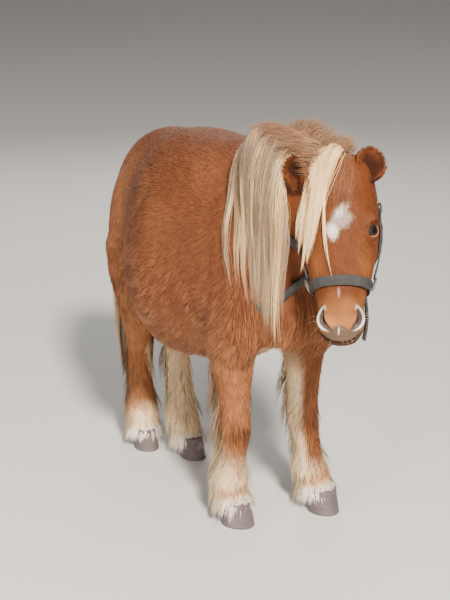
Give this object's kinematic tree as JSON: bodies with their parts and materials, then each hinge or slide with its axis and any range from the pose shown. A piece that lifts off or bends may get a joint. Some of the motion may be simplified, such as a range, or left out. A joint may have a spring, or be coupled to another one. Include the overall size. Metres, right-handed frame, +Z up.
{
  "type": "shetland pony",
  "caption": "A still, life-size Shetland pony in its winter coat, standing with its head turned to its right and wearing a plain webbing halter",
  "frame": {"origin": "on the ground under the middle of the bounding box", "axes": "+Z up; the pony faces -Y and its left side is +X"},
  "size_m": [0.4623, 1.1664, 0.9429],
  "materials": {
    "chestnut_coat": "chestnut winter coat, pale on the lower legs",
    "flaxen_hair": "long flaxen hair, cream to taupe",
    "hoof_horn": "grey horn with fine growth rings",
    "eye": "wet dark brown eye",
    "black_webbing": "worn black woven webbing",
    "halter_fitting": "dull metal rings"
  },
  "bodies": {
    "root": {"head": "chestnut_coat", "neck": "chestnut_coat", "torso": "chestnut_coat", "foreleg_right": "chestnut_coat", "foreleg_left": "chestnut_coat", "hindleg_right": "chestnut_coat", "hindleg_left": "chestnut_coat", "ear_right": "chestnut_coat", "ear_left": "chestnut_coat", "mane": "flaxen_hair", "forelock": "flaxen_hair", "tail": "flaxen_hair", "forehoof_right": "hoof_horn", "forehoof_left": "hoof_horn", "hindhoof_right": "hoof_horn", "hindhoof_left": "hoof_horn", "eye_right": "eye", "eye_left": "eye", "halter_noseband": "black_webbing", "halter_crown_strap": "black_webbing", "halter_throat_strap": "black_webbing", "halter_cheek_strap_right": "black_webbing", "halter_cheek_strap_left": "black_webbing", "halter_strap_end": "black_webbing", "halter_nose_ring_right": "halter_fitting", "halter_crown_ring_right": "halter_fitting", "halter_nose_ring_left": "halter_fitting", "halter_crown_ring_left": "halter_fitting"}
  },
  "joints": []
}
